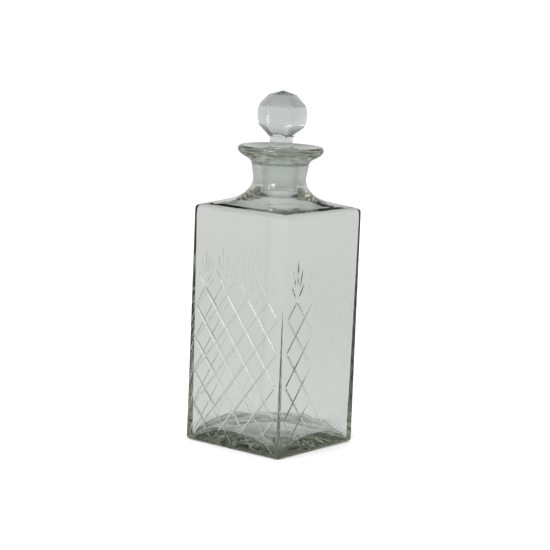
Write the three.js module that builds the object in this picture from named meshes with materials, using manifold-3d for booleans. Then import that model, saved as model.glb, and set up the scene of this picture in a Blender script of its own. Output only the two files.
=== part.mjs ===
// Square cut crystal decanter with a facet-cut ball stopper.
// Millimetres, +Z up. The origin is the middle of the underside, on the surface it stands on.

import * as THREE from 'three';
import { ConvexGeometry } from 'three/addons/geometries/ConvexGeometry.js';
import { mergeVertices } from 'three/addons/utils/BufferGeometryUtils.js';
import Module from 'manifold-3d';

// ---------------------------------------------------------------- driving dimensions

const WIDTH = 82.2;               // square body, outside, flat to flat
const HALF = WIDTH / 2;
const EDGE_RADIUS_LOW = 0.4;      // upright edges of the body: crisp at the foot
const EDGE_RADIUS_HIGH = 1.4;     // and softer at the shoulder
const WALL_TOP = 163;             // the flat outer faces end here
const FOOT_CHAMFER = 2.2;         // ground edge around the underside

const KICK_RADIUS = 34;           // hollow in the underside, inside the flat standing rim
const KICK_HEIGHT = 5;

const INNER_HALF_TOP = 40.1;      // cavity, half width under the shoulder
const INNER_HALF_BOTTOM = 37.5;   // cavity, half width at the floor, where the glass is thicker
const INNER_CORNER_RADIUS = 1;
const INNER_WALL_TOP = 158;
const FLOOR_CENTRE = 14.2;        // top of the domed floor
const FLOOR_CORNER = 2.6;         // the floor in the corners of the cavity
const FLOOR_CORNER_RADIUS = 52.6; // and how far those corners are from the axis
const FLOOR_FILLET = 1;           // between the floor and the inner walls

const NECK_RADIUS = 18.4;         // narrowest part of the neck, outside
const NECK_HEIGHT = 184;
const LIP_RADIUS = 29.6;          // flanged lip
const LIP_HEIGHT = 204.6;         // height of its widest point
const MOUTH_HEIGHT = 204.2;       // where the ground bore begins
const MOUTH_RADIUS = 13.7;
const BORE_BOTTOM = 181;          // where the ground bore ends
const BORE_TAPER = 1 / 20;        // radius lost per millimetre of depth

const SEAT_GAP = 0.3;             // between the stopper's plug and the bore
const PLUG_TOP = 202.6;
const PLUG_BOTTOM = 176.6;
const STEM_RADIUS = 8.2;
const BALL_SIDES = 6;             // facets in each ring of the ball
const BALL_STOCK_RADIUS = 20;     // the blank that the facets are ground from

const FACE_MARGIN = 5;            // the cutting stops this far from each upright edge
const DIAMOND_COLUMNS = 4;        // diamonds across each face
const DIAMOND_WIDTH = (WIDTH - 2 * FACE_MARGIN) / DIAMOND_COLUMNS;
const DIAMOND_HEIGHT = 23;
const LATTICE_BASE = 3.2;         // lowest side corners of the lattice
const LATTICE_ROWS = 4;           // whole diamonds up each upright edge
const CUT_WIDTH = 1.5;
const CUT_DEPTH = 0.45;

const CORNER_STEPS = 5;           // mesh steps around each quarter of a section
const SIDE_STEPS = 4;             // mesh steps along each straight side of a section

// ---------------------------------------------------------------- solids

const wasm = await Module();
wasm.setup();

function solidFrom(geometry) {
  const bare = geometry.clone();
  bare.deleteAttribute('normal');
  bare.deleteAttribute('uv');
  const merged = mergeVertices(bare, 1e-4);
  return new wasm.Manifold(new wasm.Mesh({
    numProp: 3,
    vertProperties: new Float32Array(merged.attributes.position.array),
    triVerts: new Uint32Array(merged.index.array),
  }));
}

function geometryFrom(solid) {
  const mesh = solid.getMesh();
  const geometry = new THREE.BufferGeometry();
  geometry.setAttribute('position', new THREE.BufferAttribute(new Float32Array(mesh.vertProperties), 3));
  geometry.setIndex(new THREE.BufferAttribute(new Uint32Array(mesh.triVerts), 1));
  geometry.computeVertexNormals();
  return geometry;
}

// ---------------------------------------------------------------- lofted sections

// One section of the bottle, seen from above: a rounded square of half width `half` whose
// corners have radius `corner`, turned towards a circle of radius `half` as `roundness` goes to 1.
function section(half, corner, roundness) {
  const points = [];
  const steps = CORNER_STEPS + SIDE_STEPS;
  const inset = half - corner;
  for (let side = 0; side < 4; side += 1) {
    const turn = side * Math.PI / 2;
    for (let i = 0; i < steps; i += 1) {
      const square = new THREE.Vector2();
      if (i < SIDE_STEPS) {
        square.set(half, -inset + 2 * inset * i / SIDE_STEPS);
      } else {
        const sweep = (i - SIDE_STEPS) / CORNER_STEPS * Math.PI / 2;
        square.set(inset + corner * Math.cos(sweep), inset + corner * Math.sin(sweep));
      }
      const flatShare = 0.5;
      const angle = i < SIDE_STEPS
        ? (i / SIDE_STEPS - 0.5) * flatShare * Math.PI / 2
        : (flatShare / 2 + (i - SIDE_STEPS) / CORNER_STEPS * (1 - flatShare)) * Math.PI / 2;
      const circle = new THREE.Vector2(half * Math.cos(angle), half * Math.sin(angle));
      points.push(square.lerp(circle, roundness).rotateAround(new THREE.Vector2(), turn));
    }
  }
  return points;
}

// Joins sections into one closed skin. The first and last stations are heights on the axis.
// Each other station is { half, z, corner, roundness }, where z is a height or a function of
// the distance from the axis.
function loft(bottomCentre, stations, topCentre) {
  const ringLength = 4 * (CORNER_STEPS + SIDE_STEPS);
  const positions = [0, 0, bottomCentre];
  for (const { half, z, corner = EDGE_RADIUS_HIGH, roundness = 0 } of stations) {
    for (const point of section(half, corner, roundness)) {
      const height = typeof z === 'function' ? z(point.length()) : z;
      positions.push(point.x, point.y, height);
    }
  }
  positions.push(0, 0, topCentre);
  const last = positions.length / 3 - 1;
  const index = [];
  const at = (ring, i) => 1 + ring * ringLength + i % ringLength;
  for (let i = 0; i < ringLength; i += 1) {
    index.push(0, at(0, i + 1), at(0, i));
    for (let ring = 0; ring + 1 < stations.length; ring += 1) {
      index.push(at(ring, i), at(ring, i + 1), at(ring + 1, i + 1));
      index.push(at(ring, i), at(ring + 1, i + 1), at(ring + 1, i));
    }
    index.push(at(stations.length - 1, i), at(stations.length - 1, i + 1), last);
  }
  const geometry = new THREE.BufferGeometry();
  geometry.setAttribute('position', new THREE.Float32BufferAttribute(positions, 3));
  geometry.setIndex(index);
  return geometry;
}

const round = (half, z) => ({ half, z, roundness: 1 });

// ---------------------------------------------------------------- bottle

function boreRadius(z) {
  return MOUTH_RADIUS - (MOUTH_HEIGHT - z) * BORE_TAPER;
}

// The floor is flat in the middle and falls away fastest towards the four corners.
function floorHeight(radius) {
  return FLOOR_CENTRE - (FLOOR_CENTRE - FLOOR_CORNER) * (radius / FLOOR_CORNER_RADIUS) ** 4;
}

function kickHeight(radius) {
  return KICK_HEIGHT * (1 - (radius / KICK_RADIUS) ** 2);
}

// From the middle of the underside, out over the standing rim and up the outer faces.
function footAndFaces() {
  return [
    round(KICK_RADIUS * 0.4, kickHeight),
    round(KICK_RADIUS * 0.75, kickHeight),
    round(KICK_RADIUS, 0),
    { half: HALF - FOOT_CHAMFER, z: 0, corner: EDGE_RADIUS_LOW },
    { half: HALF, z: FOOT_CHAMFER, corner: EDGE_RADIUS_LOW },
    { half: HALF, z: WALL_TOP },
  ];
}

// The shoulder turns from square to round as it rises to the neck, and the neck opens into the lip.
function shoulderNeckAndLip() {
  return [
    { half: HALF - 0.4, z: WALL_TOP + 1.3 },
    { half: HALF - 1.5, z: WALL_TOP + 2.3, roundness: 0.01 },
    { half: 36.8, z: 166.6, corner: 2, roundness: 0.1 },
    { half: 33, z: 168.4, corner: 5, roundness: 0.42 },
    { half: 29.2, z: 170.6, roundness: 0.8 },
    round(25.8, 172.8),
    round(22.8, 175.3),
    round(20.4, 178.2),
    round(18.9, 181.4),
    round(NECK_RADIUS, NECK_HEIGHT),
    round(18.6, 187),
    round(19.4, 191.5),
    round(20.4, 196),
    round(22.6, 198.3),
    round(25.6, 199.9),
    round(28.2, 201.8),
    round(LIP_RADIUS - 0.3, LIP_HEIGHT - 1.3),
    round(LIP_RADIUS, LIP_HEIGHT),
    round(LIP_RADIUS - 0.5, LIP_HEIGHT + 1.7),
    round(LIP_RADIUS - 1.8, LIP_HEIGHT + 2.6),
    round(23, 206.2),
    round(17, 205.1),
    round(MOUTH_RADIUS + 0.9, MOUTH_HEIGHT + 0.7),
    round(MOUTH_RADIUS, MOUTH_HEIGHT),
  ];
}

// The ground bore, and the inside of the shoulder below it.
function boreAndInnerShoulder() {
  return [
    round(boreRadius(BORE_BOTTOM), BORE_BOTTOM),
    round(12.9, 178.6),
    round(14.6, 176.2),
    round(17.2, 174),
    round(21, 171.9),
    { half: 25.5, z: 169.6, corner: 8, roundness: 0.95 },
    { half: 30, z: 167.4, corner: 8, roundness: 0.55 },
    { half: 34, z: 165, corner: 5, roundness: 0.2 },
    { half: 36.6, z: 163.5, corner: 2, roundness: 0.03 },
    { half: 38.9, z: 161.6, corner: 1.2 },
  ];
}

// One station of the inner walls, which thicken evenly on the way down. `fall` is 0 at the
// top of the walls and 1 just above the floor, whose dome meets each wall in an arc.
function innerWall(fall) {
  const footOf = (radius) => floorHeight(radius) + FLOOR_FILLET;
  return {
    half: INNER_HALF_TOP + (INNER_HALF_BOTTOM - INNER_HALF_TOP) * fall,
    z: (radius) => INNER_WALL_TOP + (footOf(radius) - INNER_WALL_TOP) * fall,
    corner: INNER_CORNER_RADIUS,
  };
}

function innerWallsAndFloor() {
  const corner = INNER_CORNER_RADIUS;
  return [
    ...[0, 0.5, 1].map(innerWall),
    { half: INNER_HALF_BOTTOM - FLOOR_FILLET, z: floorHeight, corner },
    { half: 34, z: floorHeight, corner: 2 },
    { half: 30, z: floorHeight, corner: 4, roundness: 0.2 },
    { half: 25, z: floorHeight, corner: 8, roundness: 0.6 },
    round(17, floorHeight),
    round(8, floorHeight),
  ];
}

function bottleBlank() {
  const stations = [
    ...footAndFaces(),
    ...shoulderNeckAndLip(),
    ...boreAndInnerShoulder(),
    ...innerWallsAndFloor(),
  ];
  return solidFrom(loft(KICK_HEIGHT, stations, FLOOR_CENTRE));
}

// ---------------------------------------------------------------- cutting on the faces

// One V-shaped cut on the face at y = -HALF, from (x0, z0) to (x1, z1), running out at both ends.
function cut(x0, z0, x1, z1, width = CUT_WIDTH, depth = CUT_DEPTH, runOut = 1.6) {
  const outside = 0.4;
  const start = new THREE.Vector3(x0, -HALF, z0);
  const end = new THREE.Vector3(x1, -HALF, z1);
  const along = end.clone().sub(start).normalize();
  const outward = new THREE.Vector3(0, -1, 0);
  const across = along.clone().cross(outward);
  const halfWidth = width / 2 * (depth + outside) / depth;
  const place = (origin, forward, sideways, out) => origin.clone()
    .addScaledVector(along, forward)
    .addScaledVector(across, sideways)
    .addScaledVector(outward, out);
  return new ConvexGeometry([
    place(start, 0, 0, outside),
    place(start, runOut, halfWidth, outside),
    place(start, runOut, -halfWidth, outside),
    place(start, runOut, 0, -depth),
    place(end, 0, 0, outside),
    place(end, -runOut, halfWidth, outside),
    place(end, -runOut, -halfWidth, outside),
    place(end, -runOut, 0, -depth),
  ]);
}

// The crossing cuts of the diamond lattice. Each runs up and away from one upright edge or from
// the foot, and stops at the other edge or at the top of a column.
function latticeCuts() {
  const cuts = [];
  const span = DIAMOND_COLUMNS * DIAMOND_WIDTH;
  const slope = DIAMOND_HEIGHT / DIAMOND_WIDTH;
  const sideTop = LATTICE_BASE + LATTICE_ROWS * DIAMOND_HEIGHT;
  const latticeTop = sideTop + DIAMOND_HEIGHT / 2;
  for (let line = -(DIAMOND_COLUMNS - 1); line <= LATTICE_ROWS; line += 1) {
    const fromSide = Math.max(0, -line) * DIAMOND_WIDTH;
    const low = LATTICE_BASE + Math.max(0, line) * DIAMOND_HEIGHT;
    const run = Math.min(span - fromSide, (latticeTop - low) / slope);
    for (const mirror of [-1, 1]) {
      const x0 = mirror * (fromSide - span / 2);
      const x1 = mirror * (fromSide + run - span / 2);
      cuts.push(cut(x0, low, x1, low + run * slope));
    }
  }
  return cuts;
}

// Five strokes that fan up from the top of one column of diamonds.
function sprigCuts(centre) {
  const foot = LATTICE_BASE + (LATTICE_ROWS + 0.5) * DIAMOND_HEIGHT;
  const cuts = [cut(centre, foot + 10, centre, foot + 28, 1.4, 0.42, 5)];
  for (const side of [-1, 1]) {
    cuts.push(cut(centre + side * 2.4, foot + 9.5, centre + side * 5, foot + 21.5, 1.3, 0.4, 4));
    cuts.push(cut(centre + side * 1.6, foot + 2.5, centre + side * 7, foot + 11.5, 1.3, 0.4, 3));
  }
  return cuts;
}

function faceCuts() {
  const cuts = latticeCuts();
  for (let column = 0; column < DIAMOND_COLUMNS; column += 1) {
    cuts.push(...sprigCuts((column + 0.5 - DIAMOND_COLUMNS / 2) * DIAMOND_WIDTH));
  }
  return cuts;
}

function decanterBody() {
  let glass = bottleBlank();
  for (let face = 0; face < 4; face += 1) {
    for (const geometry of faceCuts()) {
      glass = glass.subtract(solidFrom(geometry.rotateZ(face * Math.PI / 2)));
    }
  }
  return geometryFrom(glass);
}

// ---------------------------------------------------------------- stopper

// Rings of flat facets, bottom to top. Each facet runs from (distance, height) to (distance, height),
// and `turn` offsets the ring in steps of one facet.
const BALL_RINGS = [
  { from: [7.6, 213.6], to: [15, 222.2], turn: 0 },
  { from: [16, 220.6], to: [16.9, 223.8], turn: 0.5 },
  { from: [15, 222.2], to: [15, 234.4], turn: 0 },
  { from: [16.9, 232.4], to: [15.7, 236], turn: 0.5 },
  { from: [15, 234.4], to: [8.4, 242.4], turn: 0 },
  { from: [8.4, 242.4], to: [0, 245.4], turn: 0 },
];
const BALL_BOTTOM = 213.2;
const BALL_CENTRE = 228;

// A block whose inner face lies on one facet. Grinding it away leaves the facet.
function facetBlock(ring, side) {
  const size = 60;
  const [r0, z0] = ring.from;
  const [r1, z1] = ring.to;
  const lean = Math.atan2(r0 - r1, z1 - z0);
  const block = new THREE.BoxGeometry(size, size, size);
  block.translate(size / 2, 0, 0);
  block.rotateY(-lean);
  block.translate((r0 + r1) / 2, 0, (z0 + z1) / 2);
  block.rotateZ((side + ring.turn) * 2 * Math.PI / BALL_SIDES);
  return block;
}

function facetedBall() {
  const stock = new THREE.IcosahedronGeometry(BALL_STOCK_RADIUS, 3);
  stock.translate(0, 0, BALL_CENTRE);
  let ball = solidFrom(stock);
  for (const ring of BALL_RINGS) {
    for (let side = 0; side < BALL_SIDES; side += 1) {
      ball = ball.subtract(solidFrom(facetBlock(ring, side)));
    }
  }
  const belowStem = new THREE.BoxGeometry(60, 60, 60);
  belowStem.translate(0, 0, BALL_BOTTOM - 30);
  return ball.subtract(solidFrom(belowStem));
}

// The plug fills the bore but for the gap, and narrows to the stem just inside the mouth.
function stemAndPlug() {
  const chamfer = 0.6;
  const plugRadius = (z) => boreRadius(z) - SEAT_GAP;
  const profile = [
    [0, PLUG_BOTTOM],
    [plugRadius(PLUG_BOTTOM) - chamfer, PLUG_BOTTOM],
    [plugRadius(PLUG_BOTTOM + chamfer), PLUG_BOTTOM + chamfer],
    [plugRadius(PLUG_TOP - chamfer), PLUG_TOP - chamfer],
    [plugRadius(PLUG_TOP) - chamfer, PLUG_TOP],
    [STEM_RADIUS + 0.7, PLUG_TOP + 1.6],
    [STEM_RADIUS, PLUG_TOP + 4],
    [STEM_RADIUS - 0.1, BALL_BOTTOM - 2],
    [STEM_RADIUS, BALL_BOTTOM + 0.6],
    [STEM_RADIUS - 2, BALL_BOTTOM + 3],
    [0, BALL_BOTTOM + 3],
  ].map(([radius, z]) => new THREE.Vector2(radius, z));
  const segments = 36;
  const geometry = new THREE.LatheGeometry(profile, segments);
  return solidFrom(geometry.rotateX(Math.PI / 2));
}

function stopper() {
  return geometryFrom(facetedBall().add(stemAndPlug()));
}

// ---------------------------------------------------------------- the part

const clearGlass = { roughness: 0.03, metalness: 0, transparent: true };
const bottleGlass = new THREE.MeshStandardMaterial({ ...clearGlass, color: 0xc9cfcb, opacity: 0.55 });
const stopperGlass = new THREE.MeshStandardMaterial({ ...clearGlass, color: 0xb9c2c0, opacity: 0.75 });

function named(name, geometry, material) {
  const mesh = new THREE.Mesh(geometry, material);
  mesh.name = name;
  return mesh;
}

const decanter = new THREE.Group();
decanter.add(named('decanter_body', decanterBody(), bottleGlass));
decanter.add(named('stopper', stopper(), stopperGlass));

export default decanter;
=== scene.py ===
"""Looks for a square cut crystal decanter with a facet-cut ball stopper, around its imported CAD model.

Shapes are worked out in millimetres, with the base at z = 0, and written to the meshes in metres.
"""

import math
import random

import bmesh
import bpy
import numpy as np
from mathutils import Matrix, Vector, noise
from mathutils.geometry import delaunay_2d_cdt, intersect_line_line_2d


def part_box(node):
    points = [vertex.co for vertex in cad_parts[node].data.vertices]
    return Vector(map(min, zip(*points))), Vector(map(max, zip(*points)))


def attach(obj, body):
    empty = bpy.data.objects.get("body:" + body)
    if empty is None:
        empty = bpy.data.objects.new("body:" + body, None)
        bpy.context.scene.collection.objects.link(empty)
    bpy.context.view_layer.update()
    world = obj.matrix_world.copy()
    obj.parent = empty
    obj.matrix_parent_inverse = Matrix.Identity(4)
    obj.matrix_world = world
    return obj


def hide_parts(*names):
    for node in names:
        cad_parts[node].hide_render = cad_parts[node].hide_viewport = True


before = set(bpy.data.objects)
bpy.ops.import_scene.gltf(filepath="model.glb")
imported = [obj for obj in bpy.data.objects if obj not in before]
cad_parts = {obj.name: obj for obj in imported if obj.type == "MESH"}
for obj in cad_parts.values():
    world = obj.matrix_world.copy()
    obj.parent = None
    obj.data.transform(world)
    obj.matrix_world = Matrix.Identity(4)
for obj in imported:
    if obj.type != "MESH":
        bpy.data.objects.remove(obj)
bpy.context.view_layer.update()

# ---------------------------------------------------------------- sizes, in millimetres

MM = 0.001
BODY_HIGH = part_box("decanter_body")[1] / MM
STOPPER_LOW, STOPPER_HIGH = (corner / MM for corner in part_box("stopper"))

HALF = BODY_HIGH.x
EDGE_RADIUS_LOW = 0.4    # the upright edges are crisp at the foot and softer towards the shoulder
EDGE_RADIUS_HIGH = 1.4
WALL_TOP = 163.0         # where the flat outer faces end
FOOT_ROUND = 2.2         # the rounding between the faces and the flat rim they stand on

KICK_RADIUS = 34.0       # the shallow hollow underneath
KICK_HEIGHT = 5.0
RIM_FROST = 0.6          # the rim around it is ground flat, and half polished

INNER_HALF_TOP = 39.6    # half the width of the cavity, which narrows downwards
INNER_HALF_BOTTOM = 37.5
INNER_CORNER_LOW = 0.15  # the radius of its upright corners
INNER_CORNER_HIGH = 0.8
INNER_WALL_TOP = 158.0
FLOOR_CENTRE = 14.2      # the height of the floor inside, which is pushed up in the middle
FLOOR_CORNER = 2.6
FLOOR_CORNER_RADIUS = 52.6
FLOOR_FILLET = 1.0
FLOOR_INNERMOST = 1.2    # half the width of the smallest ring of the floor
FLOOR_ROUNDING = 1.6     # how soon its rings turn from square to round

LIP_RADIUS = 29.6
LIP_HEIGHT = 204.6
MOUTH_HEIGHT = 204.2
MOUTH_RADIUS = 13.7
BORE_BOTTOM = 181.0
BORE_TAPER = 1 / 20
NECK_RINGS_LOW = 189.0   # faint turned rings under the lip, strongest at the middle one of these heights
NECK_RINGS_HIGH = 199.0
NECK_RINGS_MIDDLE = 195.0
NECK_RINGS_SPREAD = 2.4
NECK_RING_PITCH = 2.1
NECK_RING_DEPTH = 0.13

SEAT_GAP = 0.3           # between the bore and the plug
PLUG_TOP = 202.6
PLUG_BOTTOM = STOPPER_LOW.z
PLUG_ROUND = 0.7
STEM_RADIUS = 8.2
BALL_BLANK = 60.0        # the block that the ball is cut from
BALL_SIDES = 6
BALL_TOP = STOPPER_HIGH.z
BALL_BOTTOM = 213.2
FACET_EDGE = 0.14        # the bevel along every edge between two facets

FACE_MARGIN = 5.0        # how far the cuts stay from the upright edges
DIAMOND_COLUMNS = 4
DIAMOND_WIDTH = 2 * (HALF - FACE_MARGIN) / DIAMOND_COLUMNS
DIAMOND_HEIGHT = 23.0
LATTICE_BASE = 3.2
LATTICE_ROWS = 4         # whole diamonds; the top row is a half one
LATTICE_TOP = LATTICE_BASE + (LATTICE_ROWS + 0.5) * DIAMOND_HEIGHT
LATTICE_INSET = 0.05     # keeps the ends of two mirrored cuts apart
LATTICE_SHAKE = 0.2      # how far hand cutting is off, up or down
CUT_WIDTH = 1.5
CUT_DEPTH = 0.45
CUT_RUN_OUT = 1.6        # how far from its end a cut has its full depth
CUT_FROST = 0.6          # the cuts are only half polished
CUT_TRACE = 0.01         # a face that goes deeper than this is part of a cut

# One sprig, as the foot, tip, width, depth and run-out of its middle stroke and of the two on either side.
# Places are sideways from the sprig's middle and up from the top of the diamonds.
SPRIG_MIDDLE = ((0.0, 10.0), (0.0, 28.0), 1.4, 0.42, 5.0)
SPRIG_SIDES = [
    ((2.4, 9.5), (5.0, 21.5), 1.3, 0.4, 4.0),
    ((1.6, 2.5), (7.0, 11.5), 1.3, 0.4, 3.0),
]
SPRIG_SHAKE = 0.8

FRONT_BITE = 0.93        # the share of the full depth that cuts have on the face towards -Y
SIDE_BITE = 0.85         # and on the other faces, near the front
LIGHT_BITE = 0.15        # and at the back
DEEP_CUTS_END = 16.0     # how far from the front the cuts start to get lighter
DEEP_CUTS_FADE = 20.0

SLOW_WAVE = 26.0         # the sizes of the long and the short waves in blown glass
QUICK_WAVE = 8.5
WAVE_SHIFT = 70.0        # keeps the two from lining up
SLOW_DEPTH = 0.14
QUICK_DEPTH = 0.045
LOW_DEPTH = 0.42         # added to the short waves up to LOW_TOP, and fading away above it
LOW_TOP = 8.0
LOW_FADE = 14.0
SHOULDER_SLOW_DEPTH = 0.10
SHOULDER_QUICK_DEPTH = 0.05

SIDE_STEPS = 20          # points along each side and around each corner of a ring
CORNER_STEPS = 16
FLAT_SHARE = 0.5         # the share of a round ring that its four sides' points take up
RING = 4 * (SIDE_STEPS + CORNER_STEPS)
KICK_ROWS = 10
FOOT_ROWS = 5
FACE_ROWS = 32
CURVE_ROWS = 6           # for each stretch between two controls of the shoulder and the neck
BORE_ROWS = 23
INNER_WALL_ROWS = 55
FILLET_ROWS = 7
FLOOR_ROWS = 25
STEM_POINTS = 96
PLUG_ROUND_ROWS = 4
PLUG_ROWS = 13
WAIST_ROWS = 5

CUT_CREASE = math.radians(1.5)    # a bend sharper than this is a crease: on the flat sides with their cuts,
BOTTLE_CREASE = math.radians(22)  # elsewhere on the bottle,
BALL_CREASE = math.radians(28)    # and on the stopper

# ---------------------------------------------------------------- camera and light

CAMERA_AZIMUTH = 38.77    # in degrees, from -Y towards +X
CAMERA_PITCH = 8.75
CAMERA_ROLL = 2.33
CAMERA_DISTANCE = 1.3465  # in metres, as are the two below
AIM_HEIGHT = 0.1173
AIM_SIDE = -0.0005
CAMERA_LENS = 127.0
CAMERA_SENSOR = 36.0
CAMERA_FAR = 100.0


def build_camera():
    """The camera looks along its azimuth and pitch at a point on the decanter's axis, slightly rolled."""
    azimuth, pitch, roll = (math.radians(a) for a in (CAMERA_AZIMUTH, CAMERA_PITCH, CAMERA_ROLL))
    back = Vector((
        math.sin(azimuth) * math.cos(pitch),
        -math.cos(azimuth) * math.cos(pitch),
        math.sin(pitch),
    ))
    level = Vector((math.cos(azimuth), math.sin(azimuth), 0.0))
    upward = back.cross(level)
    right = level * math.cos(roll) + upward * math.sin(roll)
    up = back.cross(right)
    data = bpy.data.cameras.new("camera")
    data.lens = CAMERA_LENS
    data.sensor_width = CAMERA_SENSOR
    data.clip_end = CAMERA_FAR
    camera = bpy.data.objects.new("camera", data)
    turn = Matrix((right, up, back)).transposed().to_4x4()
    place = Vector((0.0, 0.0, AIM_HEIGHT)) + back * CAMERA_DISTANCE + level * AIM_SIDE
    camera.matrix_world = Matrix.Translation(place) @ turn
    bpy.context.scene.collection.objects.link(camera)
    bpy.context.scene.camera = camera


# ---------------------------------------------------------------- sections and lofts


def section(half, corner, roundness):
    """Points around a rounded square of that half width, turned towards a circle as roundness goes to 1."""
    inset = half - corner
    quarter = []
    for i in range(SIDE_STEPS + CORNER_STEPS):
        if i < SIDE_STEPS:
            t = i / SIDE_STEPS
            square = (half, inset * (2 * t - 1))
            angle = (t - 0.5) * FLAT_SHARE * math.pi / 2
        else:
            t = (i - SIDE_STEPS) / CORNER_STEPS
            sweep = t * math.pi / 2
            square = (inset + corner * math.cos(sweep), inset + corner * math.sin(sweep))
            angle = (FLAT_SHARE / 2 + t * (1 - FLAT_SHARE)) * math.pi / 2
        circle = (half * math.cos(angle), half * math.sin(angle))
        quarter.append([s + (c - s) * roundness for s, c in zip(square, circle)])
    points = np.array(quarter)
    quarters = [points]
    for _ in range(3):
        points = np.stack([-points[:, 1], points[:, 0]], axis=1)
        quarters.append(points)
    return np.concatenate(quarters)


def catmull_rom(points, steps):
    """A smooth curve through rows of numbers, with steps points to each stretch."""
    rows = np.array(points, float)
    first = 2 * rows[0] - rows[1]
    last = 2 * rows[-1] - rows[-2]
    rows = np.vstack([first, rows, last])
    lengths = np.linalg.norm(np.diff(rows[:, :2], axis=0), axis=1)
    knots = np.concatenate([[0.0], np.cumsum(lengths ** 0.5)])
    curve = []
    for k in range(1, len(rows) - 2):
        for t in np.linspace(knots[k], knots[k + 1], steps, endpoint=False):
            a = [blend_rows(rows, knots, k - 1 + j, k + j, t) for j in range(3)]
            b = [blend_pair(a[j], a[j + 1], knots[k - 1 + j], knots[k + 1 + j], t) for j in range(2)]
            curve.append(blend_pair(b[0], b[1], knots[k], knots[k + 1], t))
    curve.append(rows[-2])
    return curve


def blend_pair(low, high, low_knot, high_knot, t):
    share = (t - low_knot) / (high_knot - low_knot)
    return low * (1 - share) + high * share


def blend_rows(rows, knots, low, high, t):
    return blend_pair(rows[low], rows[high], knots[low], knots[high], t)


def edge_radius(z):
    return EDGE_RADIUS_LOW + (EDGE_RADIUS_HIGH - EDGE_RADIUS_LOW) * z / WALL_TOP


def station(half, z, corner=EDGE_RADIUS_LOW, roundness=0.0):
    """One ring of the skin. z is a height, or a function of the distance from the axis."""
    return {"half": half, "z": z, "corner": corner, "roundness": roundness}


def smooth_stations(controls, steps):
    """Stations on a smooth curve through (half, z, corner, roundness) controls."""
    stations = []
    for half, z, corner, roundness in catmull_rom(controls, steps):
        stations.append(station(half, z, min(corner, half), min(max(roundness, 0.0), 1.0)))
    return stations


def ring_points(one):
    flat = section(one["half"], one["corner"], one["roundness"])
    if callable(one["z"]):
        heights = one["z"](np.hypot(flat[:, 0], flat[:, 1]))
    else:
        heights = np.full(len(flat), one["z"])
    return np.column_stack([flat, heights])


class Skin:
    """Vertices and faces of one closed skin, each face with its finish and the number of its flat side."""

    def __init__(self):
        self.points = []
        self.faces = []
        self.sides = []
        self.ground = []

    def add(self, points):
        start = len(self.points)
        self.points.extend(tuple(p) for p in points)
        return start

    def face(self, corners, side=0, ground=0.0):
        self.faces.append(corners)
        self.sides.append(side)
        self.ground.append(ground)

    def mesh(self, name):
        data = bpy.data.meshes.new(name)
        data.from_pydata([(x * MM, y * MM, z * MM) for x, y, z in self.points], [], self.faces)
        data.attributes.new("ground", "FLOAT", "FACE").data.foreach_set("value", self.ground)
        data.attributes.new("side", "INT", "FACE").data.foreach_set("value", self.sides)
        return data


def crease(bm, angle, side=None):
    """Sharp edges where facets meet, and wherever a flat side bends by more than a hair, as the lightest
    cuts are shallow.

    side is the face layer with the number of each face's flat side, if the mesh has one. Every face is
    smooth: light that enters the glass through a face of one kind has to leave it through the same kind.
    """
    bm.normal_update()
    for face in bm.faces:
        face.smooth = True
    for edge in bm.edges:
        first, second = edge.link_faces
        sides = {first[side], second[side]} if side else {0}
        limit = angle if sides == {0} else CUT_CREASE
        edge.smooth = edge.calc_face_angle() < limit and len(sides) == 1


# ---------------------------------------------------------------- cuts


class Stroke:
    """One V-shaped cut on a flat face, in face coordinates: sideways and height."""

    def __init__(self, start, end, width=CUT_WIDTH, depth=CUT_DEPTH, run_out=CUT_RUN_OUT):
        self.start = Vector(start)
        self.end = Vector(end)
        self.length = (self.end - self.start).length
        self.along = (self.end - self.start) / self.length
        self.across = Vector((-self.along.y, self.along.x))
        self.half = width / 2
        self.depth = depth
        self.run_out = run_out

    def place(self, forward, sideways):
        return self.start + self.along * forward + self.across * sideways

    def outline(self):
        near, far = self.run_out, self.length - self.run_out
        tips = [self.start, self.end]
        left = [self.place(near, self.half), self.place(far, self.half)]
        right = [self.place(near, -self.half), self.place(far, -self.half)]
        ridge = [self.place(near, 0), self.place(far, 0)]
        points = [tips[0], left[0], left[1], tips[1], right[1], right[0], ridge[0], ridge[1]]
        edges = [(0, 1), (1, 2), (2, 3), (3, 4), (4, 5), (5, 0), (0, 6), (6, 7), (7, 3)]
        edges += [(1, 6), (6, 5), (2, 7), (7, 4)]
        return points, edges

    def depth_at(self, point):
        offset = point - self.start
        forward = offset.dot(self.along)
        sideways = abs(offset.dot(self.across))
        share = min(1.0, forward / self.run_out, (self.length - forward) / self.run_out)
        return max(0.0, self.depth * (share - sideways / self.half))

    def crossing(self, other):
        """The middle and the four corners of the patch where two cuts cross at full depth, or None."""
        middle = intersect_line_line_2d(self.start, self.end, other.start, other.end)
        if middle is None:
            return None
        for stroke in (self, other):
            forward = (middle - stroke.start).dot(stroke.along)
            if not stroke.run_out + stroke.half < forward < stroke.length - stroke.run_out - stroke.half:
                return None
        cross = abs(self.along.x * other.along.y - self.along.y * other.along.x)
        corners = []
        for a in (-1, 1):
            for b in (-1, 1):
                step = (self.along * b * other.half + other.along * a * self.half) / cross
                corners.append(middle + step)
        return middle, corners


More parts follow.
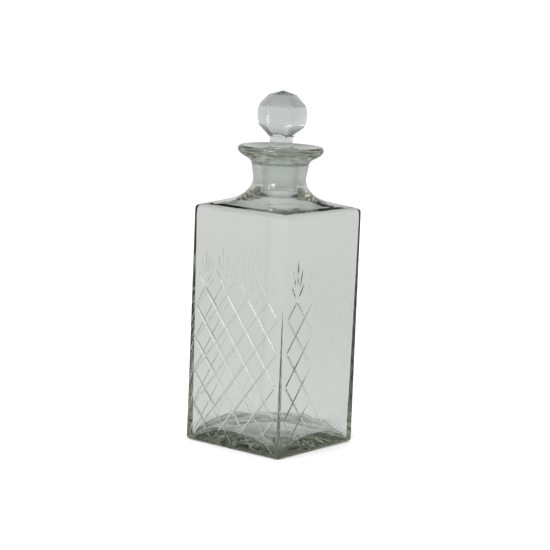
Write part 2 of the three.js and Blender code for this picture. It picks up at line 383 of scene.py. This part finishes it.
def lattice_strokes(rng):
    """The crossing cuts of the diamonds. Each starts at one edge or at the foot, and runs up to the other
    edge or to the top of the diamonds."""
    span = DIAMOND_COLUMNS * DIAMOND_WIDTH
    slope = DIAMOND_HEIGHT / DIAMOND_WIDTH
    strokes = []
    for line in range(1 - DIAMOND_COLUMNS, LATTICE_ROWS + 1):
        from_side = max(0, -line) * DIAMOND_WIDTH
        low = LATTICE_BASE + max(0, line) * DIAMOND_HEIGHT
        run = min(span - from_side, (LATTICE_TOP - low) / slope)
        for mirror in (-1, 1):
            shake = rng.uniform(-LATTICE_SHAKE, LATTICE_SHAKE)
            start = (mirror * (from_side - span / 2 + LATTICE_INSET), low + shake)
            end = (mirror * (from_side + run - span / 2 - LATTICE_INSET), low + run * slope + shake)
            strokes.append(Stroke(start, end))
    return strokes


def sprig_strokes(centre, rng):
    """Five strokes that fan up from the top of one column of diamonds."""
    lift = rng.uniform(-SPRIG_SHAKE, SPRIG_SHAKE)

    def stroke(shape, side):
        foot, tip, width, depth, run_out = shape
        start = (centre + side * foot[0], LATTICE_TOP + foot[1])
        end = (centre + side * tip[0], LATTICE_TOP + tip[1] + lift)
        return Stroke(start, end, width, depth, run_out)

    strokes = [stroke(SPRIG_MIDDLE, 1)]
    for side in (-1, 1):
        strokes += [stroke(shape, side) for shape in SPRIG_SIDES]
    return strokes


def face_strokes(seed):
    rng = random.Random(seed)
    strokes = lattice_strokes(rng)
    for column in range(DIAMOND_COLUMNS):
        centre = (column + 0.5 - DIAMOND_COLUMNS / 2) * DIAMOND_WIDTH
        strokes += sprig_strokes(centre, rng)
    return strokes


def face_border(rows):
    """The flat face's own edge, stepped where its neighbours are, anticlockwise from the lower left."""
    insets = [HALF - edge_radius(z) for z in rows]
    across = [2 * i / SIDE_STEPS - 1 for i in range(SIDE_STEPS + 1)]
    border = [Vector((s * insets[0], rows[0])) for s in across]
    border += [Vector((inset, z)) for inset, z in zip(insets[1:], rows[1:])]
    border += [Vector((s * insets[-1], rows[-1])) for s in reversed(across[:-1])]
    border += [Vector((-inset, z)) for inset, z in reversed(list(zip(insets[1:-1], rows[1:-1])))]
    return border


def bite(x, y):
    """How deep the wheel went, as a share of a full cut: deepest on the front face, least at the back."""
    if y < -HALF + 1:
        return FRONT_BITE
    back = min(1.0, max(0.0, (y + HALF - DEEP_CUTS_END) / DEEP_CUTS_FADE))
    return SIDE_BITE + (LIGHT_BITE - SIDE_BITE) * back * back * (3 - 2 * back)


def cut_face(skin, side, rows):
    """One flat outer face with its cuts. Every crease of a cut is an edge of the mesh."""
    strokes = face_strokes(seed=side)
    points = face_border(rows)
    edges = [(i, (i + 1) % len(points)) for i in range(len(points))]
    for stroke in strokes:
        outline, outline_edges = stroke.outline()
        start = len(points)
        points += outline
        edges += [(start + a, start + b) for a, b in outline_edges]
    for i, stroke in enumerate(strokes):
        for other in strokes[i + 1:]:
            crossing = stroke.crossing(other)
            if crossing:
                start = len(points)
                points += [crossing[0], *crossing[1]]
                edges += [(start, start + k) for k in range(1, 5)]
    keep_inside, merge_distance = 1, 1e-4
    flat, _, triangles, *_ = delaunay_2d_cdt(points, edges, [], keep_inside, merge_distance)
    turn = Matrix.Rotation(side * math.pi / 2, 3, "Z")
    depths = []
    for p in flat:
        place = turn @ Vector((HALF, p.x, 0.0))
        depths.append(max(stroke.depth_at(p) for stroke in strokes) * bite(place.x, place.y))
    start = skin.add(turn @ Vector((HALF - d, p.x, p.y)) for p, d in zip(flat, depths))
    for triangle in triangles:
        in_cut = any(depths[corner] > CUT_TRACE for corner in triangle)
        skin.face([start + corner for corner in triangle], side + 1, CUT_FROST if in_cut else 0.0)


# ---------------------------------------------------------------- bottle


def bore_radius(z):
    return MOUTH_RADIUS - (MOUTH_HEIGHT - z) * BORE_TAPER


def floor_height(radius):
    """A dome that is flat in the middle and falls away fastest towards the four corners."""
    return FLOOR_CENTRE - (FLOOR_CENTRE - FLOOR_CORNER) * (radius / FLOOR_CORNER_RADIUS) ** 4


def kick_height(radius):
    return KICK_HEIGHT * (1 - (radius / KICK_RADIUS) ** 2)


def underside_stations():
    """The shallow hollow, the flat rim around it, and the rounded foot."""
    shares = np.linspace(0.1, 0.96, KICK_ROWS)
    stations = [station(KICK_RADIUS * t, kick_height, roundness=1.0) for t in shares]
    stations.append(station(KICK_RADIUS, 0.0, roundness=1.0))
    for sweep in np.radians(np.linspace(0, 90, FOOT_ROWS + 1)):
        inwards = FOOT_ROUND * (1 - math.sin(sweep))
        z = FOOT_ROUND * (1 - math.cos(sweep))
        stations.append(station(HALF - inwards, z, edge_radius(FOOT_ROUND)))
    return stations


def neck_ripple(z):
    """Faint turned rings just under the lip."""
    ring = math.sin((z - NECK_RINGS_LOW) * 2 * math.pi / NECK_RING_PITCH)
    return NECK_RING_DEPTH * ring * math.exp(-(((z - NECK_RINGS_MIDDLE) / NECK_RINGS_SPREAD) ** 2))


def outer_neck_stations():
    """From the top of the flat faces over the shoulder, up the neck and around the lip to the mouth. The
    first control is the last row of the faces, so its station is left out."""
    controls = [
        (HALF, WALL_TOP, EDGE_RADIUS_HIGH, 0.0),
        (HALF - 0.4, WALL_TOP + 1.3, EDGE_RADIUS_HIGH, 0.0),
        (HALF - 1.5, WALL_TOP + 2.3, EDGE_RADIUS_HIGH, 0.01),
        (36.8, 166.6, 2.0, 0.1),
        (33.0, 168.4, 5.0, 0.42),
        (29.2, 170.6, 10.0, 0.8),
        (25.8, 172.8, 14.0, 1.0),
        (22.8, 175.3, 14.0, 1.0),
        (20.4, 178.2, 14.0, 1.0),
        (18.9, 181.4, 14.0, 1.0),
        (18.4, 184.0, 14.0, 1.0),
        (18.6, 187.0, 14.0, 1.0),
        (19.4, 191.5, 14.0, 1.0),
        (20.4, 196.0, 14.0, 1.0),
        (22.6, 198.3, 14.0, 1.0),
        (25.6, 199.9, 14.0, 1.0),
        (28.2, 201.8, 14.0, 1.0),
        (LIP_RADIUS - 0.3, LIP_HEIGHT - 1.3, 14.0, 1.0),
        (LIP_RADIUS, LIP_HEIGHT, 14.0, 1.0),
        (LIP_RADIUS - 0.5, LIP_HEIGHT + 1.7, 14.0, 1.0),
        (LIP_RADIUS - 1.8, LIP_HEIGHT + 2.6, 14.0, 1.0),
        (23.0, 206.2, 14.0, 1.0),
        (17.0, 205.1, 13.0, 1.0),
        (MOUTH_RADIUS + 0.9, MOUTH_HEIGHT + 0.7, 12.0, 1.0),
        (MOUTH_RADIUS, MOUTH_HEIGHT, 12.0, 1.0),
    ]
    stations = smooth_stations(controls, CURVE_ROWS)
    for one in stations:
        if NECK_RINGS_LOW < one["z"] < NECK_RINGS_HIGH:
            one["half"] += neck_ripple(one["z"])
    return stations[1:]


def bore_stations():
    stations = []
    for z in np.linspace(MOUTH_HEIGHT - 0.8, BORE_BOTTOM, BORE_ROWS + 1):
        stations.append(station(bore_radius(z), z, 8.0, 1.0))
    return stations


def inner_shoulder_stations():
    """From the foot of the bore, whose own station is left out, to the top of the inner walls."""
    controls = [
        (bore_radius(BORE_BOTTOM), BORE_BOTTOM, 8.0, 1.0),
        (12.9, 178.6, 8.0, 1.0),
        (14.6, 176.2, 8.0, 1.0),
        (17.2, 174.0, 8.0, 1.0),
        (21.0, 171.9, 8.0, 1.0),
        (25.5, 169.6, 8.0, 0.95),
        (30.0, 167.4, 8.0, 0.55),
        (34.0, 165.8, 5.0, 0.2),
        (37.9, 164.55, 1.6, 0.02),
        (39.15, 163.1, 1.2, 0.0),
        (INNER_HALF_TOP, INNER_WALL_TOP, INNER_CORNER_HIGH, 0.0),
    ]
    return smooth_stations(controls, CURVE_ROWS)[1:]


def inner_wall_stations():
    """The walls thicken downwards, and end where the domed floor's fillet begins."""
    stations = []
    for t in np.linspace(0, 1, INNER_WALL_ROWS + 1)[1:]:
        def height(radius, t=t):
            return INNER_WALL_TOP * (1 - t) + (floor_height(radius) + FLOOR_FILLET) * t

        half = INNER_HALF_TOP + (INNER_HALF_BOTTOM - INNER_HALF_TOP) * t
        corner = INNER_CORNER_HIGH + (INNER_CORNER_LOW - INNER_CORNER_HIGH) * t
        stations.append(station(half, height, corner))
    return stations


def floor_stations():
    """The fillet around the floor inside, then the floor itself up to its middle."""
    stations = []
    for sweep in np.radians(np.linspace(0, 90, FILLET_ROWS + 1))[1:]:
        inwards = FLOOR_FILLET * (1 - math.cos(sweep))
        rise = FLOOR_FILLET * (1 - math.sin(sweep))
        stations.append(station(
            INNER_HALF_BOTTOM - inwards,
            lambda radius, rise=rise: floor_height(radius) + rise,
            INNER_CORNER_LOW,
        ))
    edge = INNER_HALF_BOTTOM - FLOOR_FILLET
    for t in np.linspace(0, 1, FLOOR_ROWS + 1)[1:]:
        half = edge * (1 - t) + FLOOR_INNERMOST * t
        stations.append(station(half, floor_height, INNER_CORNER_LOW, min(1.0, t * FLOOR_ROUNDING)))
    return stations


def bottle_skin():
    """The whole skin of the bottle, from the middle of the underside to the middle of the floor inside."""
    skin = Skin()
    foot = underside_stations()
    rows = list(np.linspace(FOOT_ROUND, WALL_TOP, FACE_ROWS + 1))
    faces = [station(HALF, z, edge_radius(z)) for z in rows[1:]]
    stations = foot + faces + outer_neck_stations() + bore_stations()
    bore_end = len(stations) - 1
    stations += inner_shoulder_stations() + inner_wall_stations() + floor_stations()
    bore_start = bore_end - BORE_ROWS
    rim = KICK_ROWS
    face_start = len(foot) - 1
    face_end = face_start + len(faces)
    bottom = skin.add([(0, 0, KICK_HEIGHT)])
    starts = [skin.add(ring_points(one)) for one in stations]
    top = skin.add([(0, 0, FLOOR_CENTRE)])
    period = SIDE_STEPS + CORNER_STEPS
    for i in range(RING):
        after = (i + 1) % RING
        skin.face([bottom, starts[0] + after, starts[0] + i])
        for k in range(len(stations) - 1):
            if face_start <= k < face_end and i % period < SIDE_STEPS:
                continue
            ground = 0.0
            if bore_start <= k < bore_end:
                ground = 1.0
            elif k == rim:
                ground = RIM_FROST
            low, high = starts[k], starts[k + 1]
            skin.face([low + i, low + after, high + after, high + i], ground=ground)
        skin.face([starts[-1] + i, starts[-1] + after, top])
    for side in range(4):
        cut_face(skin, side, rows)
    return skin


def wave(x, y, z):
    """How far the glass stands out from its true shape at a place. Blown glass isn't true: what lies within
    the walls and on the shoulder wanders a little, most of all low down near the thick floor. The flat
    faces, the rim underneath, the neck and the bore stay true."""
    within_walls = 2 < z < INNER_WALL_TOP + 12 and max(abs(x), abs(y)) < INNER_HALF_TOP + 0.1
    on_shoulder = WALL_TOP + 3 < z < 180 and math.hypot(x, y) > 20
    slow = noise.noise(Vector((x, y, z)) / SLOW_WAVE)
    quick = noise.noise(Vector((x + WAVE_SHIFT, y, z)) / QUICK_WAVE)
    if within_walls:
        low = math.exp(-max(0.0, z - LOW_TOP) / LOW_FADE)
        return SLOW_DEPTH * slow + (QUICK_DEPTH + LOW_DEPTH * low) * quick
    if on_shoulder:
        return SHOULDER_SLOW_DEPTH * slow + SHOULDER_QUICK_DEPTH * quick
    return 0.0


def ripple_glass(bm):
    """Moves every point of the bottle in or out by its wave."""
    bm.normal_update()
    moves = []
    for v in bm.verts:
        moves.append((v, v.normal * wave(*(c / MM for c in v.co)) * MM))
    for v, move in moves:
        v.co += move


def build_bottle(material):
    data = bottle_skin().mesh("bottle")
    bm = bmesh.new()
    bm.from_mesh(data)
    bmesh.ops.remove_doubles(bm, verts=bm.verts[:], dist=1e-6)
    bmesh.ops.delete(bm, geom=[v for v in bm.verts if not v.link_faces], context="VERTS")
    bmesh.ops.recalc_face_normals(bm, faces=bm.faces[:])
    ripple_glass(bm)
    crease(bm, BOTTLE_CREASE, bm.faces.layers.int["side"])
    bm.to_mesh(data)
    bm.free()
    return shown("bottle", data, material, "bottle", "decanter_body")


# ---------------------------------------------------------------- stopper

# Rings of flat facets, bottom to top: each facet's plane passes through two (distance, height) points,
# and turn offsets the ring in steps of one facet.
BALL_RINGS = [
    ((7.6, 213.6), (15.0, 222.2), 0.0),
    ((16.0, 220.6), (16.9, 223.8), 0.5),
    ((15.0, 222.2), (15.0, 234.4), 0.0),
    ((16.9, 232.4), (15.7, 236.0), 0.5),
    ((15.0, 234.4), (8.4, 242.4), 0.0),
    ((8.4, 242.4), (0.0, BALL_TOP), 0.0),
]


def cut_flat(bm, point, outward):
    """Grinds away what lies outside a plane, and closes the cut with one flat facet."""
    geometry = bm.verts[:] + bm.edges[:] + bm.faces[:]
    result = bmesh.ops.bisect_plane(
        bm, geom=geometry, plane_co=point, plane_no=outward, clear_outer=True, dist=1e-6
    )
    loop = [item for item in result["geom_cut"] if isinstance(item, bmesh.types.BMEdge)]
    if loop:
        bmesh.ops.contextual_create(bm, geom=loop)


def faceted_ball():
    """A block cut down to the ball's flat facets, with fine bevels between them."""
    bm = bmesh.new()
    bmesh.ops.create_cube(bm, size=BALL_BLANK)
    bmesh.ops.translate(bm, verts=bm.verts[:], vec=(0, 0, (BALL_TOP + BALL_BOTTOM) / 2))
    for (r0, z0), (r1, z1), turn in BALL_RINGS:
        for side in range(BALL_SIDES):
            angle = (side + turn) * 2 * math.pi / BALL_SIDES
            outward = Vector((z1 - z0, 0, r0 - r1)).normalized()
            point = Vector(((r0 + r1) / 2, 0, (z0 + z1) / 2))
            spin = Matrix.Rotation(angle, 3, "Z")
            cut_flat(bm, spin @ point, spin @ outward)
    cut_flat(bm, Vector((0, 0, BALL_BOTTOM)), Vector((0, 0, -1)))
    bmesh.ops.bevel(bm, geom=bm.edges[:], offset=FACET_EDGE, segments=2, profile=0.5, affect="EDGES")
    bmesh.ops.recalc_face_normals(bm, faces=bm.faces[:])
    bmesh.ops.scale(bm, vec=(MM, MM, MM), verts=bm.verts[:])
    bm.faces.layers.float.new("ground")
    data = bpy.data.meshes.new("ball")
    bm.to_mesh(data)
    bm.free()
    return data


def stem_profile():
    """(radius, height) from the middle of the plug's foot up to inside the ball."""
    def plug(z):
        return bore_radius(z) - SEAT_GAP

    profile = [(0.0, PLUG_BOTTOM), (plug(PLUG_BOTTOM) * 0.5, PLUG_BOTTOM)]
    for sweep in np.radians(np.linspace(0, 90, PLUG_ROUND_ROWS + 1)):
        inwards = PLUG_ROUND * (1 - math.sin(sweep))
        rise = PLUG_ROUND * (1 - math.cos(sweep))
        profile.append((plug(PLUG_BOTTOM) - inwards, PLUG_BOTTOM + rise))
    for z in np.linspace(PLUG_BOTTOM + 2, PLUG_TOP - 1.5, PLUG_ROWS + 1):
        profile.append((plug(z), z))
    waist = [
        (plug(PLUG_TOP) - 0.1, PLUG_TOP - 0.7),
        (plug(PLUG_TOP) - 1.2, PLUG_TOP + 0.1),
        (STEM_RADIUS + 1.0, PLUG_TOP + 1.3),
        (STEM_RADIUS + 0.15, PLUG_TOP + 3.6),
        (STEM_RADIUS - 0.15, PLUG_TOP + 7.0),
        (STEM_RADIUS - 0.1, BALL_BOTTOM - 1.5),
        (STEM_RADIUS, BALL_BOTTOM + 0.6),
    ]
    profile += [(row[0], row[1]) for row in catmull_rom(waist, WAIST_ROWS)]
    profile += [(STEM_RADIUS - 2.0, BALL_BOTTOM + 3.0), (0.0, BALL_BOTTOM + 3.0)]
    return profile


def turned_stem():
    """A closed solid of revolution."""
    profile = stem_profile()
    angles = [2 * math.pi * i / STEM_POINTS for i in range(STEM_POINTS)]
    skin = Skin()
    foot = skin.add([(0, 0, profile[0][1])])
    starts = []
    for radius, z in profile[1:-1]:
        starts.append(skin.add((radius * math.cos(a), radius * math.sin(a), z) for a in angles))
    top = skin.add([(0, 0, profile[-1][1])])
    for i in range(STEM_POINTS):
        after = (i + 1) % STEM_POINTS
        skin.face([foot, starts[0] + after, starts[0] + i])
        for low, high in zip(starts, starts[1:]):
            skin.face([low + i, low + after, high + after, high + i])
        skin.face([starts[-1] + i, starts[-1] + after, top])
    return skin.mesh("stem")


def build_stopper(material):
    """The ball and the stem are one piece of glass, so they are joined into one closed skin. Only the
    tapered side of the plug is ground; the rest is polished."""
    ball = bpy.data.objects.new("ball", faceted_ball())
    stem = bpy.data.objects.new("stem", turned_stem())
    for part in (ball, stem):
        bpy.context.scene.collection.objects.link(part)
    join = ball.modifiers.new("join", "BOOLEAN")
    join.operation = "UNION"
    join.solver = "EXACT"
    join.object = stem
    bpy.context.view_layer.update()
    joined = ball.evaluated_get(bpy.context.evaluated_depsgraph_get())
    data = bpy.data.meshes.new_from_object(joined)
    for part in (ball, stem):
        bpy.data.objects.remove(part)
    data.materials.clear()
    bm = bmesh.new()
    bm.from_mesh(data)
    crease(bm, BALL_CREASE)
    bm.to_mesh(data)
    bm.free()
    finish = data.attributes["ground"]
    for face in data.polygons:
        x, y, z = (c / MM for c in face.center)
        on_plug = PLUG_BOTTOM + 0.8 < z < PLUG_TOP - 0.9 and math.hypot(x, y) > STEM_RADIUS + 1.5
        finish.data[face.index].value = 1.0 if on_plug else 0.0
    return shown("faceted_stopper", data, material, "stopper", "stopper")


def shown(name, data, material, body, node):
    """A finished piece in the scene, riding its body and standing for its CAD node."""
    data.name = name
    data.materials.append(material)
    piece = bpy.data.objects.new(name, data)
    bpy.context.scene.collection.objects.link(piece)
    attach(piece, body)
    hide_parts(node)
    return piece


# ---------------------------------------------------------------- materials

BOTTLE_TINT = (13.0, 12.0, 15.0)   # how much red, green and blue light the glass takes up, per metre
STOPPER_TINT = (6.0, 4.5, 5.0)
TINT_SCALE = 100.0                 # the volume's density; its colour says how much of that isn't taken up
GLASS_COLOUR = (0.985, 0.995, 0.99, 1.0)
GLASS_IOR = 1.53
SMEAR_ROUGHNESS = 0.02             # the roughness of smears left by hands and cloths
FROST_ROUGHNESS = 0.3              # the roughness that grinding adds
CORD_STRENGTH = 0.06
CORD_DEPTH = 0.002                 # in metres, as is the next
GRAIN_DEPTH = 0.00006


def add_node(tree, kind, **values):
    """A node with its inputs set by name, or linked where the value is a socket."""
    node = tree.nodes.new(kind)
    for name, value in values.items():
        key = name.replace("_", " ")
        if hasattr(node, name) and key not in node.inputs:
            setattr(node, name, value)
        elif isinstance(value, bpy.types.NodeSocket):
            tree.links.new(value, node.inputs[key])
        else:
            node.inputs[key].default_value = value
    return node


def crystal(name, absorption):
    """Clear lead glass. Faces marked ground are frosted; the rest has the faint cords of blown glass."""
    material = bpy.data.materials.new(name)
    material.use_nodes = True
    tree = material.node_tree
    tree.nodes.clear()
    place = add_node(tree, "ShaderNodeTexCoord").outputs["Object"]
    ground = add_node(tree, "ShaderNodeAttribute", attribute_name="ground").outputs["Fac"]

    smears = add_node(tree, "ShaderNodeTexNoise", Vector=place, Scale=55.0, Detail=4.0, Roughness=0.6)
    smear = add_node(tree, "ShaderNodeMapRange", Value=smears.outputs["Fac"])
    smear.inputs["From Min"].default_value = 0.55
    smear.inputs["From Max"].default_value = 0.8
    smear.inputs["To Max"].default_value = SMEAR_ROUGHNESS
    frost = add_node(tree, "ShaderNodeMath", operation="MULTIPLY_ADD")
    tree.links.new(ground, frost.inputs[0])
    frost.inputs[1].default_value = FROST_ROUGHNESS
    tree.links.new(smear.outputs["Result"], frost.inputs[2])

    cords = add_node(tree, "ShaderNodeTexNoise", Vector=place, Scale=38.0, Detail=2.0, Roughness=0.45)
    bump = add_node(
        tree, "ShaderNodeBump", Height=cords.outputs["Fac"], Strength=CORD_STRENGTH, Distance=CORD_DEPTH,
    )
    grain = add_node(tree, "ShaderNodeTexNoise", Vector=place, Scale=4200.0, Detail=2.0)
    frosting = add_node(
        tree, "ShaderNodeBump", Height=grain.outputs["Fac"], Strength=ground, Distance=GRAIN_DEPTH,
        Normal=bump.outputs["Normal"],
    )

    shader = add_node(
        tree, "ShaderNodeBsdfPrincipled",
        Roughness=frost.outputs[0], Normal=frosting.outputs["Normal"],
    )
    shader.inputs["Base Color"].default_value = GLASS_COLOUR
    shader.inputs["IOR"].default_value = GLASS_IOR
    shader.inputs["Transmission Weight"].default_value = 1.0
    inside = add_node(tree, "ShaderNodeVolumeAbsorption")
    inside.inputs["Color"].default_value = (*(1 - a / TINT_SCALE for a in absorption), 1.0)
    inside.inputs["Density"].default_value = TINT_SCALE
    output = add_node(tree, "ShaderNodeOutputMaterial")
    tree.links.new(shader.outputs["BSDF"], output.inputs["Surface"])
    tree.links.new(inside.outputs["Volume"], output.inputs["Volume"])
    return material


# ---------------------------------------------------------------- stage

# Directions are told by how far they point to the front or up, from -1 to 1. Lengths are in metres.

DAYLIGHT = 1.3           # what the camera sees and what lights the floor

# The room as the glass sees it
FRONT_AZIMUTH = 25.0     # its bright side, in degrees
FRONT_TONE = 1.10
BEHIND_TONE = 0.66
WALL_FADE = (-0.7, 0.5)  # where it turns from the tone behind to the one in front
DIM_ABOVE = 0.12         # how much of that is left in the dim band high up
DIM_FADE = (0.3, 0.6)
OVERHEAD = 0.6           # the tone of the ceiling lights, straight above
OVERHEAD_FADE = (0.8, 0.93)

# The floor as the glass sees it: a painted glow in place of a lit floor
FLOOR_LEVEL_TONE = 0.63  # seen from low down
FLOOR_STEEP_TONE = 0.42  # seen from above
FLOOR_TONE_FADE = (0.45, 0.75)  # from steep to level sight, as the share that Layer Weight gives
FLOOR_FRONT = 1.35       # how much brighter the painted light is in front than behind
FLOOR_FRONT_FADE = (-0.5, 0.5)
UNDER_FRONT = 0.4        # what is left of that in the painted shadow under the front of the base
UNDER_BACK = 0.85        # and under its back
UNDER_FADE = (-0.03, 0.02)
SHADE_EDGE = (0.045, 0.08)  # how far from the middle the painted shadow ends

FLOOR_HALF = 8.0
FLOOR_DROP = 0.0002      # keeps the floor and the rim that stands on it apart
LAMP_AIM = 0.13
LAMP_DISTANCE = 1.6


def seen_by_glass(tree):
    """1 for rays that come from glass, 0 for the camera's own rays and for light falling on the floor."""
    path = add_node(tree, "ShaderNodeLightPath")
    either = add_node(tree, "ShaderNodeMath", operation="MAXIMUM")
    tree.links.new(path.outputs["Is Transmission Ray"], either.inputs[0])
    tree.links.new(path.outputs["Is Glossy Ray"], either.inputs[1])
    return either.outputs[0]


def ramp(tree, value, start, end, low, high):
    """A smooth step from low to high while the value goes from start to end."""
    node = add_node(tree, "ShaderNodeMapRange", Value=value, interpolation_type="SMOOTHSTEP")
    node.inputs["From Min"].default_value = start
    node.inputs["From Max"].default_value = end
    node.inputs["To Min"].default_value = low
    node.inputs["To Max"].default_value = high
    return node.outputs["Result"]


def towards_front(tree, vector):
    """How far a direction or a place lies towards the bright side of the room."""
    angle = math.radians(FRONT_AZIMUTH)
    facing = add_node(tree, "ShaderNodeVectorMath", operation="DOT_PRODUCT")
    tree.links.new(vector, facing.inputs[0])
    facing.inputs[1].default_value = (math.sin(angle), -math.cos(angle), 0.0)
    return facing.outputs["Value"]


def math_node(tree, operation, *values):
    node = add_node(tree, "ShaderNodeMath", operation=operation)
    for socket, value in zip(node.inputs, values):
        if isinstance(value, bpy.types.NodeSocket):
            tree.links.new(value, socket)
        else:
            socket.default_value = value
    return node.outputs[0]


def build_world():
    """White, but glass sees a room that is bright in front, grey behind, dim high up and lit overhead."""
    world = bpy.data.worlds.new("studio")
    bpy.context.scene.world = world
    world.use_nodes = True
    world.cycles.sampling_method = "NONE"
    tree = world.node_tree
    tree.nodes.clear()
    direction = add_node(tree, "ShaderNodeTexCoord").outputs["Generated"]
    height = add_node(tree, "ShaderNodeSeparateXYZ", Vector=direction).outputs["Z"]
    wall = ramp(tree, towards_front(tree, direction), *WALL_FADE, BEHIND_TONE, FRONT_TONE)
    room = math_node(tree, "MULTIPLY", wall, ramp(tree, height, *DIM_FADE, 1.0, DIM_ABOVE))
    room = math_node(tree, "ADD", room, ramp(tree, height, *OVERHEAD_FADE, 0.0, OVERHEAD))
    mix = add_node(tree, "ShaderNodeMix", data_type="FLOAT")
    tree.links.new(seen_by_glass(tree), mix.inputs[0])
    mix.inputs[2].default_value = DAYLIGHT
    tree.links.new(room, mix.inputs[3])
    glow = add_node(tree, "ShaderNodeBackground", Color=(1.0, 1.0, 1.0, 1.0), Strength=mix.outputs[0])
    output = add_node(tree, "ShaderNodeOutputWorld")
    tree.links.new(glow.outputs["Background"], output.inputs["Surface"])


def build_floor():
    """A plain pale floor. To the glass it glows grey instead of being lit, as painted light that is a
    little brighter in front, with a painted shadow under the base.
    """
    data = bpy.data.meshes.new("floor")
    corners = [(x * FLOOR_HALF, y * FLOOR_HALF, 0.0) for x, y in ((-1, -1), (1, -1), (1, 1), (-1, 1))]
    data.from_pydata(corners, [], [(0, 1, 2, 3)])
    floor = bpy.data.objects.new("floor", data)
    floor.location.z = -FLOOR_DROP
    bpy.context.scene.collection.objects.link(floor)
    material = bpy.data.materials.new("floor")
    material.use_nodes = True
    tree = material.node_tree
    tree.nodes.clear()
    place = add_node(tree, "ShaderNodeTexCoord").outputs["Object"]
    facing = add_node(tree, "ShaderNodeLayerWeight", Blend=0.5).outputs["Facing"]
    distance = add_node(tree, "ShaderNodeVectorMath", operation="LENGTH")
    tree.links.new(place, distance.inputs[0])
    front = towards_front(tree, place)
    tone = ramp(tree, facing, *FLOOR_TONE_FADE, FLOOR_STEEP_TONE, FLOOR_LEVEL_TONE)
    tone = math_node(tree, "MULTIPLY", tone, ramp(tree, front, *FLOOR_FRONT_FADE, 1.0, FLOOR_FRONT))
    # painted shadow under the base, deepest under its front
    outside_painted_shadow = ramp(tree, distance.outputs["Value"], *SHADE_EDGE, 0.0, 1.0)
    under = ramp(tree, front, *UNDER_FADE, UNDER_BACK, UNDER_FRONT)
    tone = math_node(tree, "MULTIPLY", tone, math_node(tree, "MAXIMUM", outside_painted_shadow, under))
    paint = add_node(tree, "ShaderNodeBsdfDiffuse", Color=(0.98, 0.98, 0.98, 1.0))
    # painted light: to glass rays the floor glows with its tone instead of taking light from the lamps
    painted_glow = add_node(tree, "ShaderNodeEmission", Color=(1.0, 1.0, 1.0, 1.0), Strength=tone)
    both = add_node(tree, "ShaderNodeMixShader")
    tree.links.new(seen_by_glass(tree), both.inputs[0])
    tree.links.new(paint.outputs["BSDF"], both.inputs[1])
    tree.links.new(painted_glow.outputs["Emission"], both.inputs[2])
    output = add_node(tree, "ShaderNodeOutputMaterial")
    tree.links.new(both.outputs["Shader"], output.inputs["Surface"])
    data.materials.append(material)


def add_light(name, azimuth, elevation, size, power):
    """A soft rectangular lamp that faces the decanter."""
    data = bpy.data.lights.new(name, "AREA")
    data.shape = "RECTANGLE"
    data.size, data.size_y = size
    data.energy = power
    lamp = bpy.data.objects.new(name, data)
    a, e = math.radians(azimuth), math.radians(elevation)
    out = Vector((math.sin(a) * math.cos(e), -math.cos(a) * math.cos(e), math.sin(e)))
    lamp.location = Vector((0.0, 0.0, LAMP_AIM)) + out * LAMP_DISTANCE
    lamp.rotation_euler = out.to_track_quat("Z", "Y").to_euler()
    bpy.context.scene.collection.objects.link(lamp)


def build_lights():
    add_light("key", azimuth=-8.0, elevation=38.0, size=(0.12, 0.4), power=1.6)
    add_light("fill", azimuth=10.0, elevation=27.0, size=(0.5, 0.5), power=7.5)


def set_render():
    """Glass needs long light paths. The view is plain, with no film curve, so that white stays white."""
    scene = bpy.context.scene
    cycles = scene.cycles
    cycles.max_bounces = 40
    cycles.transmission_bounces = 40
    cycles.glossy_bounces = 12
    cycles.diffuse_bounces = 4
    cycles.transparent_max_bounces = 16
    cycles.caustics_reflective = True
    cycles.caustics_refractive = True
    cycles.blur_glossy = 0.4
    cycles.sample_clamp_indirect = 6.0
    cycles.use_denoising = True
    scene.view_settings.view_transform = "Standard"
    scene.view_settings.look = "None"


# ---------------------------------------------------------------- the scene

build_camera()
build_world()
build_floor()
build_lights()
set_render()
build_bottle(crystal("bottle_crystal", BOTTLE_TINT))
build_stopper(crystal("stopper_crystal", STOPPER_TINT))
